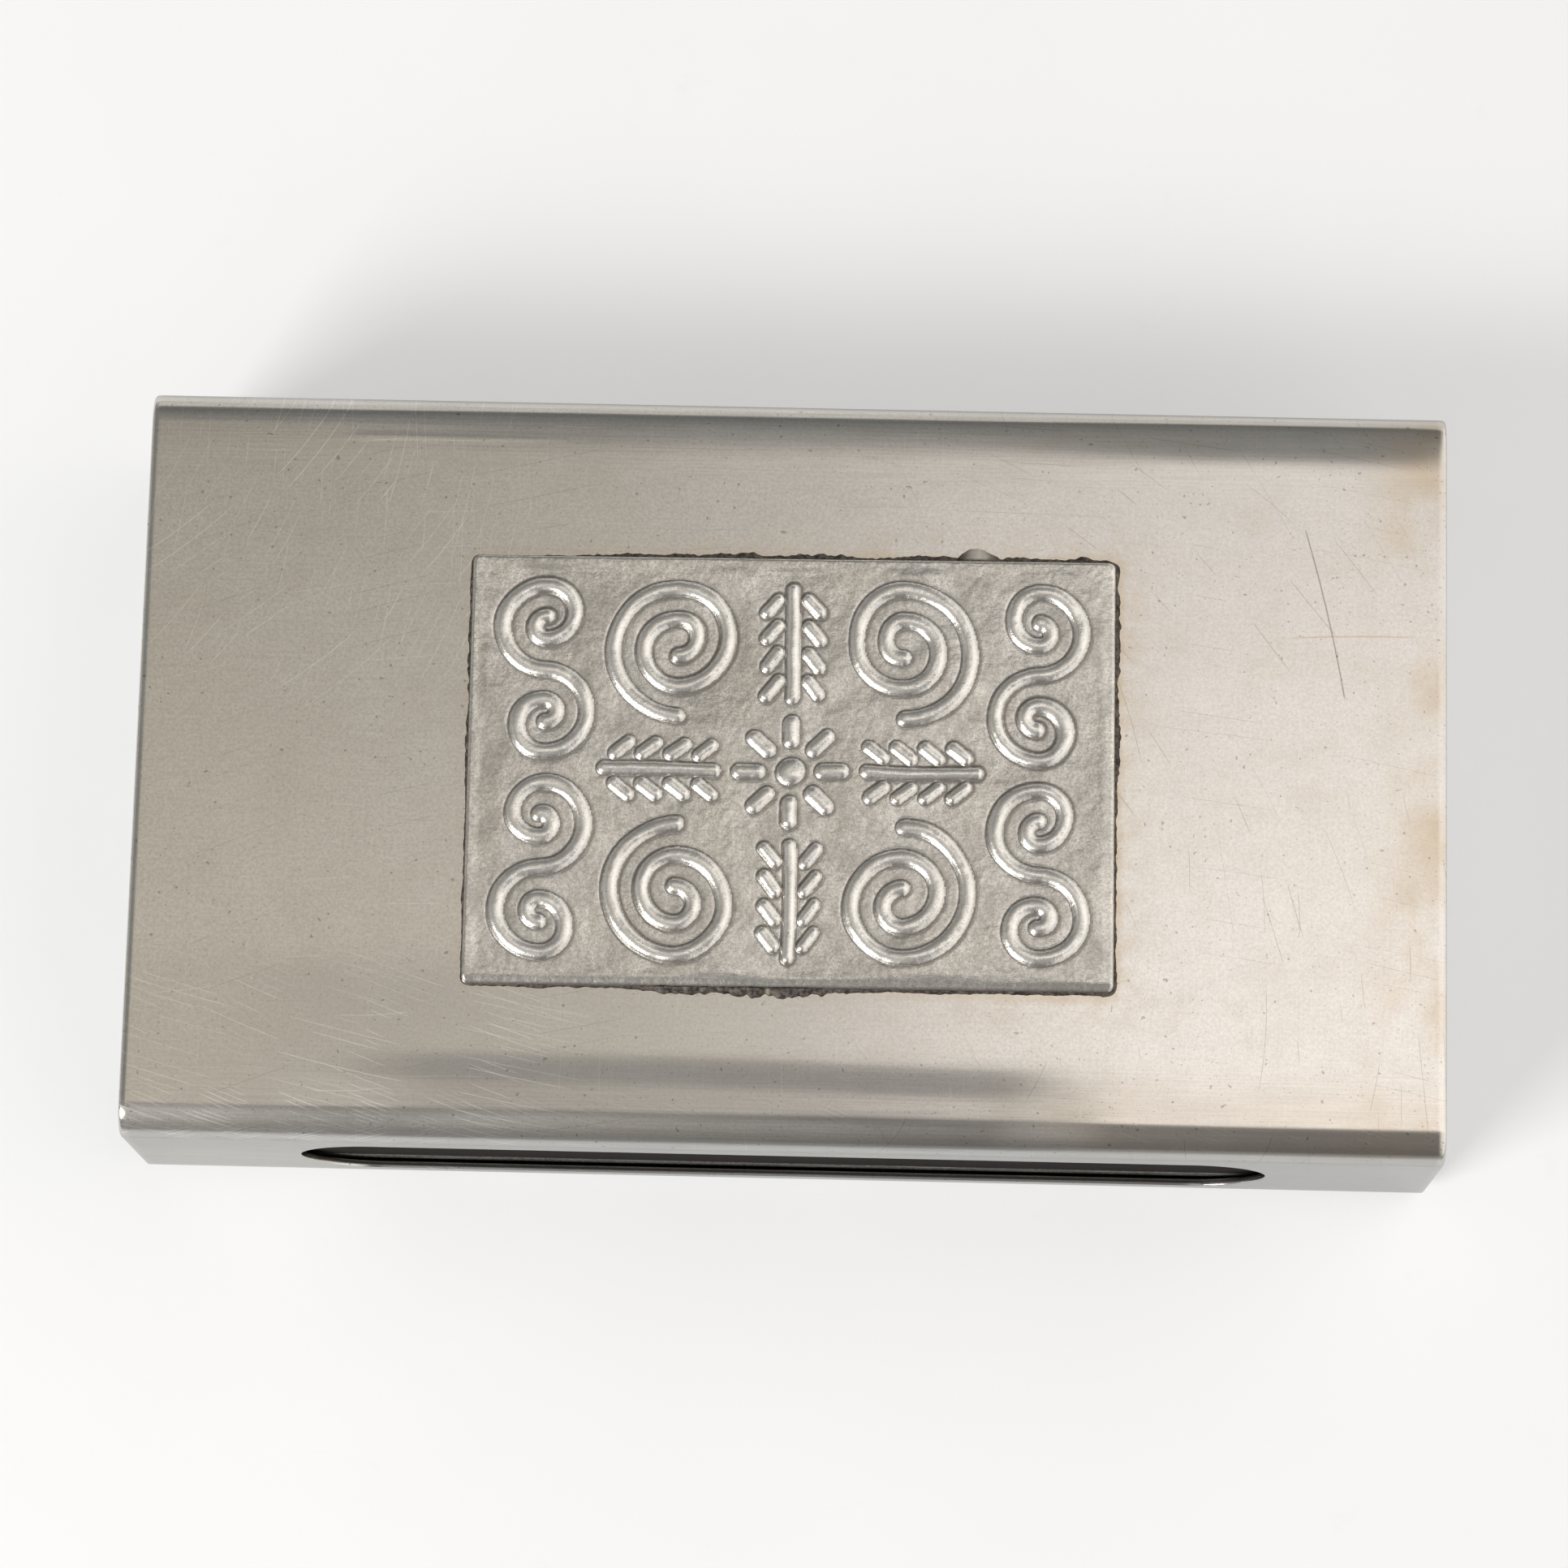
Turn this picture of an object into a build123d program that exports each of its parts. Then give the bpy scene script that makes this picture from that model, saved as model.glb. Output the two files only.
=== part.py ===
from build123d import *
from math import atan2, cos, degrees, radians, sin
import os

# Sheet metal sleeve, in millimetres. X runs along its length, Z up from its base.
holder_length = 112.0
holder_width = 65.2
holder_height = 22.0
sheet_thickness = 0.6
bend_outer_radius = 2.8
rim_edge_radius = 0.25

# Striking slots, one in each long wall
slot_length = 83.0
slot_height = 13.0
slot_centre_height = 10.4
slot_edge_radius = 0.12

# Butt seam under the base, filled with solder
seam_gap = 0.4

# Embossed plaque on the lid face
plaque_length = 55.2
plaque_width = 37.4
plaque_corner_radius = 0.9
plaque_rim_width = 1.2
plaque_ground_thickness = 0.6
plaque_rim_thickness = 1.1
plaque_edge_radius = 0.45
plaque_offset_x = 0.1
plaque_offset_y = -0.35
plaque_turn_degrees = 0.43

# Solder line round the foot of the plaque, and the drop that ran out of it
solder_width = 0.45
solder_height = 0.35
solder_drop_radius = 1.4
solder_drop_x = 15.8
solder_slope_share = 0.9
solder_drop_height_share = 1.5

# Scrollwork raised on the plaque's ground
relief_height = 0.45
stroke_width = 1.35
fine_stroke_width = 1.15
turn_gap = 1.3
panel_margin = 0.9
scroll_gap = 0.9
large_scroll_radius = 5.6
large_scroll_half_turns = 4
small_scroll_half_turns = 3
rosette_boss_radius = 1.2
rosette_petal_start = 2.7
rosette_petal_end = 4.3
rosette_petal_count = 8
sprig_start = 6.5
sprig_leaf_length = 1.5
sprig_leaf_offset = 1.25
sprig_leaf_degrees = 38
sprig_leaf_pairs = 4
first_leaf_share = 0.6

# Card matchbox cover that fits the sleeve
side_clearance = 0.5
height_clearance = 0.4
cover_setback = 1.0
cover_corner_radius = 1.5
card_thickness = 0.5

# Friction strips printed on the two long sides of the cover
striker_height = 16.4
striker_end_margin = 0.8
striker_thickness = 0.12

# Card tray that slides in the cover
tray_clearance = 0.35
tray_top_clearance = 1.05
tray_fold_radius = 0.6
tray_end_thickness = 1.0

# Matches, laid across the tray with their heads on the near side
match_end_room = 3.7
splint_size = 2.0
head_diameter = 3.0
head_length = 4.2
head_neck_radius = 1.45
splint_in_head = 2.4
match_gap = 0.15
layer_gap = 0.05
match_yaw_degrees = 0.4
layer_fill_shares = (1.0, 1.0, 0.55)

# One overrun for every cut
cut_overrun = 1.0

# Sizes worked out from the ones above
inner_width = holder_width - 2 * sheet_thickness
inner_height = holder_height - 2 * sheet_thickness
bend_inner_radius = bend_outer_radius - sheet_thickness
cover_length = holder_length - 2 * cover_setback
cover_width = inner_width - 2 * side_clearance
cover_height = inner_height - 2 * height_clearance
cover_base = sheet_thickness + height_clearance
tray_length = cover_length
tray_width = cover_width - 2 * card_thickness - 2 * tray_clearance
tray_height = cover_height - 2 * card_thickness - tray_clearance - tray_top_clearance
tray_base = cover_base + card_thickness + tray_clearance
tray_floor_top = tray_base + card_thickness
match_length = tray_width - 2 * card_thickness - match_end_room
panel_half_length = plaque_length / 2 - plaque_rim_width - panel_margin
panel_half_width = plaque_width / 2 - plaque_rim_width - panel_margin


def bar_along_x(length, width, height, radius, base):
    """A bar along X with rounded long edges, standing on z = base."""
    profile = Plane.YZ * RectangleRounded(width, height, radius)
    return Pos(0, 0, base + height / 2) * extrude(profile, length / 2, both=True)


def slot_cutter(side):
    """A round-ended bar along Y that opens one long wall."""
    bar = extrude(Plane.XZ * SlotOverall(slot_length, slot_height), bend_outer_radius, both=True)
    return Pos(0, side * holder_width / 2, slot_centre_height) * bar


def slot_lip(sleeve, side):
    """The edges of one slot where it meets the wall's outer face."""
    outer_edges = sleeve.edges().group_by(Axis.Y)[0 if side < 0 else -1]
    return [edge for edge in outer_edges if edge.length < slot_length and abs(edge.center().X) < slot_length / 2]


def make_sleeve():
    outside = bar_along_x(holder_length, holder_width, holder_height, bend_outer_radius, 0)
    inside_length = holder_length + 2 * cut_overrun
    inside = bar_along_x(inside_length, inner_width, inner_height, bend_inner_radius, sheet_thickness)
    sleeve = outside - inside
    rims = sleeve.edges().group_by(Axis.X)
    sleeve = fillet(rims[0] + rims[-1], rim_edge_radius)
    for side in (-1, 1):
        sleeve -= slot_cutter(side)
        sleeve = fillet(slot_lip(sleeve, side), slot_edge_radius)
    seam = Box(inside_length, seam_gap, sheet_thickness + 2 * cut_overrun)
    return sleeve - Pos(0, 0, sheet_thickness / 2) * seam


def make_seam_solder():
    length = holder_length - 2 * rim_edge_radius
    return Pos(0, 0, sheet_thickness / 2) * Box(length, seam_gap, sheet_thickness)


def on_lid(piece):
    """Turn and shift a piece drawn about the lid's centre to the plaque's place."""
    turned = Rot(0, 0, plaque_turn_degrees) * piece
    return Pos(plaque_offset_x, plaque_offset_y, holder_height) * turned


def stroke(line, width):
    """The faces of one stroke of the scrollwork, with a round end at each end of its line."""
    ends = [Pos(line @ place) * Circle(width / 2) for place in (0, 1)]
    return [trace(line, width)] + ends


def scroll(centre_x, centre_y, radius, start_degrees, half_turns):
    """A spiral of half circles, each one carrying on from the last and a step smaller."""
    step = (stroke_width + turn_gap) / 2
    strokes = []
    for _ in range(half_turns):
        strokes += stroke(CenterArc((centre_x, centre_y), radius, start_degrees, 180), stroke_width)
        start_degrees += 180
        centre_x += step * cos(radians(start_degrees))
        centre_y += step * sin(radians(start_degrees))
        radius -= step
    return strokes


def sprig(length, turn_degrees):
    """A stem that leaves the rosette at the given turn, with pairs of leaves along it."""
    strokes = stroke(Line((sprig_start, 0), (sprig_start + length, 0)), fine_stroke_width)
    reach_x = sprig_leaf_length * cos(radians(sprig_leaf_degrees))
    reach_y = sprig_leaf_length * sin(radians(sprig_leaf_degrees))
    for pair in range(sprig_leaf_pairs):
        root = sprig_start + length * (pair + first_leaf_share) / sprig_leaf_pairs
        for side in (-1, 1):
            foot = (root, side * sprig_leaf_offset)
            tip = (root - reach_x, side * (sprig_leaf_offset + reach_y))
            strokes += stroke(Line(foot, tip), fine_stroke_width)
    return [Rot(0, 0, turn_degrees) * face for face in strokes]


def scrolls_of_one_quarter():
    """A large scroll beside an S of two small ones, above and right of the rosette."""
    edge = stroke_width / 2
    small = (panel_half_width - 3 * edge) / 4
    small_x = panel_half_length - edge - small
    small_y = panel_half_width - edge - small
    large_x = small_x - small - 2 * edge - scroll_gap - large_scroll_radius
    large_y = panel_half_width - edge - large_scroll_radius
    strokes = scroll(large_x, large_y, large_scroll_radius, -90, large_scroll_half_turns)
    strokes += scroll(small_x, small_y, small, -90, small_scroll_half_turns)
    strokes += scroll(small_x, small_y - 2 * small, small, 90, small_scroll_half_turns)
    sprig_length = large_x + large_scroll_radius + edge - sprig_start
    return strokes, sprig_length


def rosette():
    faces = [Circle(rosette_boss_radius)]
    petal = Line((rosette_petal_start, 0), (rosette_petal_end, 0))
    for turn in range(rosette_petal_count):
        faces += [Rot(0, 0, 360 * turn / rosette_petal_count) * face for face in stroke(petal, stroke_width)]
    return faces


def scrollwork():
    """The whole ornament: four mirrored quarters, four sprigs and the rosette between them."""
    quarter, long_sprig = scrolls_of_one_quarter()
    half = quarter + [mirror(face, about=Plane.YZ) for face in quarter]
    faces = half + [mirror(face, about=Plane.XZ) for face in half]
    short_sprig = panel_half_width - fine_stroke_width / 2 - sprig_start
    for turn, length in ((0, long_sprig), (90, short_sprig), (180, long_sprig), (270, short_sprig)):
        faces += sprig(length, turn)
    return faces + rosette()


def make_plaque():
    plate = extrude(RectangleRounded(plaque_length, plaque_width, plaque_corner_radius), plaque_rim_thickness)
    plate = fillet(plate.edges().group_by(Axis.Z)[-1], plaque_edge_radius)
    panel_length = plaque_length - 2 * plaque_rim_width
    panel_width = plaque_width - 2 * plaque_rim_width
    panel = extrude(RectangleRounded(panel_length, panel_width, plaque_corner_radius / 2), plaque_rim_thickness)
    plate -= Pos(0, 0, plaque_ground_thickness) * panel
    relief = Sketch() + scrollwork()
    plate += Pos(0, 0, plaque_ground_thickness) * extrude(relief, relief_height)
    return on_lid(plate)


def make_plaque_solder():
    outer = RectangleRounded(
        plaque_length + 2 * solder_width, plaque_width + 2 * solder_width, plaque_corner_radius + solder_width
    )
    line = extrude(outer, solder_height)
    top_edges = line.edges().group_by(Axis.Z)[-1]
    line = chamfer(top_edges, solder_slope_share * solder_height, solder_slope_share * solder_width)
    drop_height = solder_drop_height_share * solder_height
    drop = Pos(solder_drop_x, plaque_width / 2, 0) * Cone(solder_drop_radius, solder_drop_radius / 2, drop_height)
    line += Pos(0, 0, drop_height / 2) * drop
    foot = RectangleRounded(plaque_length, plaque_width, plaque_corner_radius)
    return on_lid(line - extrude(foot, plaque_rim_thickness))


def make_cover():
    outside = bar_along_x(cover_length, cover_width, cover_height, cover_corner_radius, cover_base)
    inside = bar_along_x(
        cover_length + 2 * cut_overrun,
        cover_width - 2 * card_thickness,
        cover_height - 2 * card_thickness,
        cover_corner_radius - card_thickness,
        cover_base + card_thickness,
    )
    return outside - inside


def make_striker(side):
    strip = Box(cover_length - 2 * striker_end_margin, striker_thickness, striker_height)
    return Pos(0, side * (cover_width + striker_thickness) / 2, cover_base + cover_height / 2) * strip


def make_tray():
    """An open card box: long bottom edges folded round, end walls of doubled card."""
    block = extrude(Rectangle(tray_length, tray_width), tray_height)
    folds = block.edges().filter_by(Axis.X).group_by(Axis.Z)[0]
    block = fillet(folds, tray_fold_radius)
    room = Rectangle(tray_length - 2 * tray_end_thickness, tray_width - 2 * card_thickness)
    block -= Pos(0, 0, card_thickness) * extrude(room, tray_height)
    return Pos(0, 0, tray_base) * block


def splint_blank():
    """One splint, running towards +Y out of the head that has its middle at the origin."""
    start = head_length / 2 - splint_in_head
    end = match_length - head_length / 2
    return Pos(0, (start + end) / 2, 0) * Box(splint_size, end - start, splint_size)


def head_blank():
    """One match head: a round nose and a body that narrows a little, cut to fit round the splint."""
    nose_radius = head_diameter / 2
    body_length = head_length - nose_radius
    nose = Pos(0, nose_radius - head_length / 2, 0) * Sphere(nose_radius)
    body = Rot(-90, 0, 0) * Cone(nose_radius, head_neck_radius, body_length)
    return nose + Pos(0, (head_length - body_length) / 2, 0) * body - splint_blank()


def match_places():
    """Where each match lies: layers from the tray's floor up, each a little less full."""
    room_length = tray_length - 2 * tray_end_thickness
    pitch = head_diameter + match_gap
    per_layer = int(room_length / pitch)
    first_x = -(per_layer - 1) * pitch / 2
    head_y = (head_length - match_length) / 2
    reach = match_length - head_length / 2
    places = []
    for layer, share in enumerate(layer_fill_shares):
        head_z = tray_floor_top + layer_gap + head_diameter / 2 + layer * (head_diameter + layer_gap)
        tail_z = tray_floor_top + layer_gap + splint_size / 2 + layer * (splint_size + layer_gap)
        tilt = degrees(atan2(tail_z - head_z, reach))
        for index in range(int(per_layer * share)):
            wobble = sin(2.4 * index + 1.7 * layer)
            spot = Pos(first_x + index * pitch, head_y + match_end_room / 4 * wobble, head_z)
            places.append(spot * Rot(tilt, 0, match_yaw_degrees * wobble))
    return places


def make_matches(blank):
    return Compound(children=[place * blank for place in match_places()])


nodes = {
    "sleeve": make_sleeve(),
    "seam_solder": make_seam_solder(),
    "plaque": make_plaque(),
    "plaque_solder": make_plaque_solder(),
    "box_cover": make_cover(),
    "front_striker": make_striker(-1),
    "rear_striker": make_striker(1),
    "tray": make_tray(),
    "match_splints": make_matches(splint_blank()),
    "match_heads": make_matches(head_blank()),
}

os.makedirs("parts", exist_ok=True)
for name, piece in nodes.items():
    export_step(piece, f"parts/{name}.step")
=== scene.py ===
from math import atan2, ceil, cos, pi, radians, sin

import bmesh
import bpy
import numpy as np
from mathutils import Matrix, Vector


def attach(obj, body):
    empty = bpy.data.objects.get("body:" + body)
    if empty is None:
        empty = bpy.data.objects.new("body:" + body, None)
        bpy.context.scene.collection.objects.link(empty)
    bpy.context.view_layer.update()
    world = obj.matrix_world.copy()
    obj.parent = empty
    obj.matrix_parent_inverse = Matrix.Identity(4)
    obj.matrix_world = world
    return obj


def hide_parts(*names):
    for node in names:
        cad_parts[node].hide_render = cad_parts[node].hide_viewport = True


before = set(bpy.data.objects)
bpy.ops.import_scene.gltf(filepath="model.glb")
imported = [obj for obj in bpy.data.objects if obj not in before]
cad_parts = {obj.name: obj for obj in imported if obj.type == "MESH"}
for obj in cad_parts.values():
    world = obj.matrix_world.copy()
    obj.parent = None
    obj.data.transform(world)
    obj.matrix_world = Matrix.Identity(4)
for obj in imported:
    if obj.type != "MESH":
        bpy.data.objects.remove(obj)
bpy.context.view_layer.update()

MM = 0.001

# Sizes of the solids, in millimetres, but with tighter corners on the plaque and rounded slot lips
LENGTH, WIDTH, HEIGHT = 112.0, 65.2, 22.0
SHEET, BEND = 0.6, 2.8
LID_HALF = WIDTH / 2 - BEND
SEAM_GAP = 0.4
SLOT_LENGTH, SLOT_HEIGHT, SLOT_CENTRE, SLOT_LIP = 83.0, 13.0, 10.4, 0.12
SLOT_END = (SLOT_LENGTH - SLOT_HEIGHT) / 2
LIP_RADIUS = SLOT_HEIGHT / 2 + SLOT_LIP
PLAQUE_LENGTH, PLAQUE_WIDTH, PLAQUE_CORNER = 55.2, 37.4, 0.6
PLAQUE_RIM, PLAQUE_GROUND, PLAQUE_TOP, PLAQUE_EDGE = 1.2, 0.6, 1.1, 0.30
PLAQUE_X, PLAQUE_Y, PLAQUE_TURN = 0.1, -0.35, radians(0.43)
BOX_LENGTH, BOX_WIDTH, BOX_MIDDLE = 110.0, 63.0, 11.0


# Node graphs


class Wire:
    """One output in a node graph, with arithmetic that adds Math nodes."""

    def __init__(self, graph, socket):
        self.graph, self.socket = graph, socket

    def __add__(self, other):
        return self.graph.math("ADD", self, other)

    __radd__ = __add__

    def __sub__(self, other):
        return self.graph.math("SUBTRACT", self, other)

    def __rsub__(self, other):
        return self.graph.math("SUBTRACT", other, self)

    def __mul__(self, other):
        return self.graph.math("MULTIPLY", self, other)

    __rmul__ = __mul__

    def __truediv__(self, other):
        return self.graph.math("DIVIDE", self, other)


class Graph:
    """Adds nodes to the tree of one material or of the world."""

    def __init__(self, tree):
        self.tree = tree
        tree.nodes.clear()

    def add(self, kind, inputs=None, **settings):
        node = self.tree.nodes.new("ShaderNode" + kind)
        for name, value in settings.items():
            setattr(node, name, value)
        for name, value in (inputs or {}).items():
            self.feed(node.inputs[name], value)
        return node

    def feed(self, socket, value):
        if isinstance(value, Wire):
            self.tree.links.new(value.socket, socket)
        else:
            socket.default_value = value

    def out(self, node, name=0):
        return Wire(self, node.outputs[name])

    def math(self, operation, first, second=None):
        node = self.add("Math", operation=operation)
        self.feed(node.inputs[0], first)
        if second is not None:
            self.feed(node.inputs[1], second)
        return self.out(node)

    def least(self, first, second):
        return self.math("MINIMUM", first, second)

    def most(self, first, second):
        return self.math("MAXIMUM", first, second)

    def size(self, value):
        return self.math("ABSOLUTE", value)

    def step(self, value, low, high, start=0.0, end=1.0):
        """A smooth step from start, at low and under, to end, at high and over."""
        inputs = {
            "Value": value, "From Min": low, "From Max": high, "To Min": start, "To Max": end
        }
        return self.out(self.add("MapRange", inputs, interpolation_type="SMOOTHSTEP"))

    def fall(self, value, low, high):
        """A smooth step down from 1, at low and under, to 0, at high and over."""
        return self.step(value, low, high, 1.0, 0.0)

    def bump_shape(self, value, centre, reach):
        """1 at the centre, falling smoothly to 0 at the reach on both sides."""
        return self.fall(self.size(value - centre), 0.0, reach)

    def place(self):
        """The place on the piece as X, Y and Z in millimetres."""
        split = self.add("SeparateXYZ", {0: self.out(self.add("TexCoord"), "Object")})
        return [self.out(split, axis) * (1 / MM) for axis in range(3)]

    def vector(self, x, y, z=0.0):
        return self.out(self.add("CombineXYZ", {0: x, 1: y, 2: z}))

    def noise(self, vector, detail=2.0, roughness=0.5):
        inputs = {"Vector": vector, "Scale": 1.0, "Detail": detail, "Roughness": roughness}
        return self.out(self.add("TexNoise", inputs), "Fac")

    def chance(self, vector):
        """Three random values from 0 to 1 for each value of the vector."""
        noise = self.add("TexWhiteNoise", {"Vector": vector}, noise_dimensions="3D")
        split = self.add("SeparateXYZ", {0: self.out(noise, "Color")})
        return [self.out(split, axis) for axis in range(3)]

    def mix(self, factor, first, second, blend="MIX"):
        node = self.add("Mix", data_type="RGBA", blend_type=blend)
        self.feed(node.inputs[0], factor)
        self.feed(node.inputs[6], first if isinstance(first, Wire) else (*first, 1))
        self.feed(node.inputs[7], second if isinstance(second, Wire) else (*second, 1))
        return self.out(node, 2)

    def scratches(self, x, y, turn_degrees, cell, gap, width, seed, share, bow=0.0):
        """Fine scratches, each with its own place, slant and length.

        Each lies in a cell of a turned and bowed grid. A cell is as long as cell and as wide as
        gap, and share is how many of the cells have a scratch.
        """
        turn_cos, turn_sin = cos(radians(turn_degrees)), sin(radians(turn_degrees))
        straight = x * turn_cos + y * turn_sin
        along = straight * (1 / cell) + seed * 0.37
        column = self.math("FLOOR", along)
        shift = self.chance(self.vector(column, seed, 0.5))[0]
        bowed = y * turn_cos - x * turn_sin + straight * straight * bow
        across = bowed * (1 / gap) + shift * 5.0
        row = self.math("FLOOR", across)
        one, two, three = self.chance(self.vector(column, row, seed))
        u = along - column - 0.5
        v = across - row
        line = 0.3 + one * 0.4 + (two - 0.5) * u * 0.8 + (three - 0.5) * u * u
        distance = self.size(v - line) * gap
        ends = self.fall(self.size(u), two * 0.3, 0.08 + two * 0.38)
        drawn = self.math("LESS_THAN", one, share)
        return self.fall(distance, 0.0, width) * ends * drawn * (0.35 + three * 0.65)


def new_material(name):
    material = bpy.data.materials.new(name)
    material.use_nodes = True
    return material, Graph(material.node_tree)


def finish_material(graph, colour, roughness, height, reach, **uniform):
    """The closing shader.

    Height is in millimetres times reach. Uniform values go on the shader's own sockets.
    """
    inputs = {"Base Color": colour, "Roughness": roughness}
    inputs.update({name.replace("_", " "): value for name, value in uniform.items()})
    bump = graph.add("Bump", {"Height": height, "Distance": reach * MM, "Strength": 1.0})
    inputs["Normal"] = graph.out(bump)
    shader = graph.add("BsdfPrincipled", inputs)
    graph.add("OutputMaterial", {"Surface": graph.out(shader)})


# Meshes


def new_piece(name, points, faces, material):
    """A smooth mesh piece from points in millimetres."""
    mesh = bpy.data.meshes.new(name)
    mesh.from_pydata((np.asarray(points, float) * MM).tolist(), [], faces)
    mesh.validate()
    piece = bpy.data.objects.new(name, mesh)
    bpy.context.scene.collection.objects.link(piece)
    mesh.polygons.foreach_set("use_smooth", [True] * len(mesh.polygons))
    mesh.materials.append(material)
    return piece


def weld(piece, distance=1e-7):
    """Joins points that lie together, and turns all faces outward."""
    mesh = bmesh.new()
    mesh.from_mesh(piece.data)
    bmesh.ops.remove_doubles(mesh, verts=mesh.verts, dist=distance)
    bmesh.ops.recalc_face_normals(mesh, faces=mesh.faces)
    mesh.to_mesh(piece.data)
    mesh.free()


def dress(piece, body, slot, *nodes):
    """Say which body a piece rides on and which CAD nodes it stands for. The slot is not used."""
    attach(piece, body)
    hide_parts(*nodes)


def dress_node(node, material):
    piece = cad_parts[node]
    piece.data.materials.clear()
    piece.data.materials.append(material)


def smooth_step(value, low, high):
    share = np.clip((value - low) / (high - low), 0, 1)
    return share * share * (3 - 2 * share)


def ramp(value, softness):
    """0 below zero and the value itself above, with a soft turn between."""
    return (value + np.sqrt(value * value + softness * softness)) / 2


# Sleeve

# Rows round the section. Over the lid each part has the place where it ends and its row count.
LID_PARTS = ((26.8, 20), (-22.6, 90), (-LID_HALF, 30))
BASE_ROWS, LID_BEND_ROWS, BASE_BEND_ROWS = 24, 20, 12
WALL_SHARES = (0, 0.2, 0.4, 0.6, 0.8, 0.95, 1)
# Places along X round each end of the slot, between its ends, beyond it and on the end rims
SLOT_END_COLUMNS, SLOT_COLUMNS, PLAIN_COLUMNS, RIM_COLUMNS = 17, 72, 15, 6
END_RIM = 0.85


def lid_dip(x, y):
    """How far the lid is off flat: it was bent by hand and isn't quite even."""
    # A shallow crease runs beside the near bend, deepest right of the middle
    crease = smooth_step(x, -48, -26) * (1 - 0.8 * smooth_step(x, 17, 29))
    crease = crease * (1 - smooth_step(x, 28, 44))
    centre = -26.3 - 0.5 * smooth_step(x, -10, 18)
    fold = ramp(centre + 1.3 - y, 0.5) - ramp(centre - 1.1 - y, 0.5)
    near = -crease * (0.049 * ramp(-y - 24.6, 1.6) + 0.039 * fold)
    # A fine ridge beside the far bend on the left
    ridge = 0.016 * np.exp(-((y - 28.65) / 0.28) ** 2) * smooth_step(x, -41, -36)
    ridge = ridge * (1 - smooth_step(x, -27, -18))
    # The lid starts to turn over before the far bend, most of all on the right
    turn = 0.010 + 0.018 * smooth_step(x, -44, -20) + 0.026 * smooth_step(x, 14, 40)
    turn = turn - 0.036 * smooth_step(x, 53, 57)
    far = -0.5 * turn * ramp(y - 27.2, 0.3) ** 2 * (1 - smooth_step(y, 29.7, 32.2))
    # Both end rims are rubbed down a little
    worn = -0.25 * np.maximum(abs(x) - 55.2, 0) ** 2
    return near + ridge + far + worn


def sleeve_rows():
    """The outer profile from the seam under the base, round and back to it.

    Each row has its place, its outward normal and its share in the slot's opening, which is 0
    at the bends, 1 at the slot's upper edge and -1 at its lower edge.
    """
    rows = []

    def flat(start, end, z, count):
        for share in np.linspace(0, 1, count + 1)[:-1]:
            rows.append((start + (end - start) * share, z, 0, 1 if z > 0 else -1, 0.0))

    def bend(centre_y, centre_z, start_degrees, count):
        for share in np.linspace(0, 1, count + 1)[:-1]:
            angle = radians(start_degrees + 90 * share)
            y, z = cos(angle), sin(angle)
            rows.append((centre_y + BEND * y, centre_z + BEND * z, y, z, 0.0))

    def wall(side):
        halves = [(BEND, -1), (HEIGHT - BEND, 1)]
        if side < 0:
            halves.reverse()
        # The bend that follows makes the wall's last row
        for (edge, sign), shares in zip(halves, (WALL_SHARES, WALL_SHARES[:0:-1])):
            for share in shares:
                z = edge + (SLOT_CENTRE - edge) * share
                rows.append((side * WIDTH / 2, z, side, 0, sign * share))

    half_gap = SEAM_GAP / 2
    flat(half_gap, LID_HALF, 0, BASE_ROWS)
    bend(LID_HALF, BEND, -90, BASE_BEND_ROWS)
    wall(1)
    bend(LID_HALF, HEIGHT - BEND, 0, LID_BEND_ROWS)
    start = LID_HALF
    for end, count in LID_PARTS:
        flat(start, end, HEIGHT, count)
        start = end
    bend(-LID_HALF, HEIGHT - BEND, 90, LID_BEND_ROWS)
    wall(-1)
    bend(-LID_HALF, BEND, 180, BASE_BEND_ROWS)
    flat(-LID_HALF, -half_gap, 0, BASE_ROWS)
    rows.append((-half_gap, 0, 0, -1, 0.0))
    return rows


def sleeve_columns():
    """Places along X, each with its angle round the slot's end, or None beyond the slot."""
    rim = LENGTH / 2 - END_RIM
    beyond = list(np.linspace(SLOT_END + LIP_RADIUS, rim, PLAIN_COLUMNS)[1:])
    beyond += list(np.linspace(rim, LENGTH / 2 - SHEET / 2, RIM_COLUMNS)[1:])
    columns = [(-x, None) for x in reversed(beyond)]
    for angle in np.linspace(-pi / 2, 0, SLOT_END_COLUMNS):
        columns.append((-SLOT_END + LIP_RADIUS * sin(angle), angle))
    columns += [(x, 0.0) for x in np.linspace(-SLOT_END, SLOT_END, SLOT_COLUMNS)[1:-1]]
    for angle in np.linspace(0, pi / 2, SLOT_END_COLUMNS):
        columns.append((SLOT_END + LIP_RADIUS * sin(angle), angle))
    return columns + [(x, None) for x in beyond]


def bridge(faces, chains):
    """Adds a strip of quads between each chain of points and the next."""
    for one, two in zip(chains, chains[1:]):
        faces.extend((one[k], one[k + 1], two[k + 1], two[k]) for k in range(len(one) - 1))


def add_end_rims(points, faces, grid, rows):
    """Joins the sheet's two faces by a half round at both ends."""
    rounding = SHEET / 2
    for i, side in ((0, -1), (grid.shape[1] - 1, 1)):
        chains = []
        for j, (_, _, ny, nz, _) in enumerate(rows):
            x, y, z = points[grid[0, i, j]]
            chain = [grid[0, i, j]]
            for angle in np.linspace(0, pi, 9)[1:-1]:
                out, inward = rounding * sin(angle), rounding * (1 - cos(angle))
                chain.append(len(points))
                points.append((x + side * out, y - ny * inward, z - nz * inward))
            chains.append(chain + [grid[1, i, j]])
        bridge(faces, chains)
        faces.append(tuple(chains[0]))
        faces.append(tuple(chains[-1]))


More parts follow.
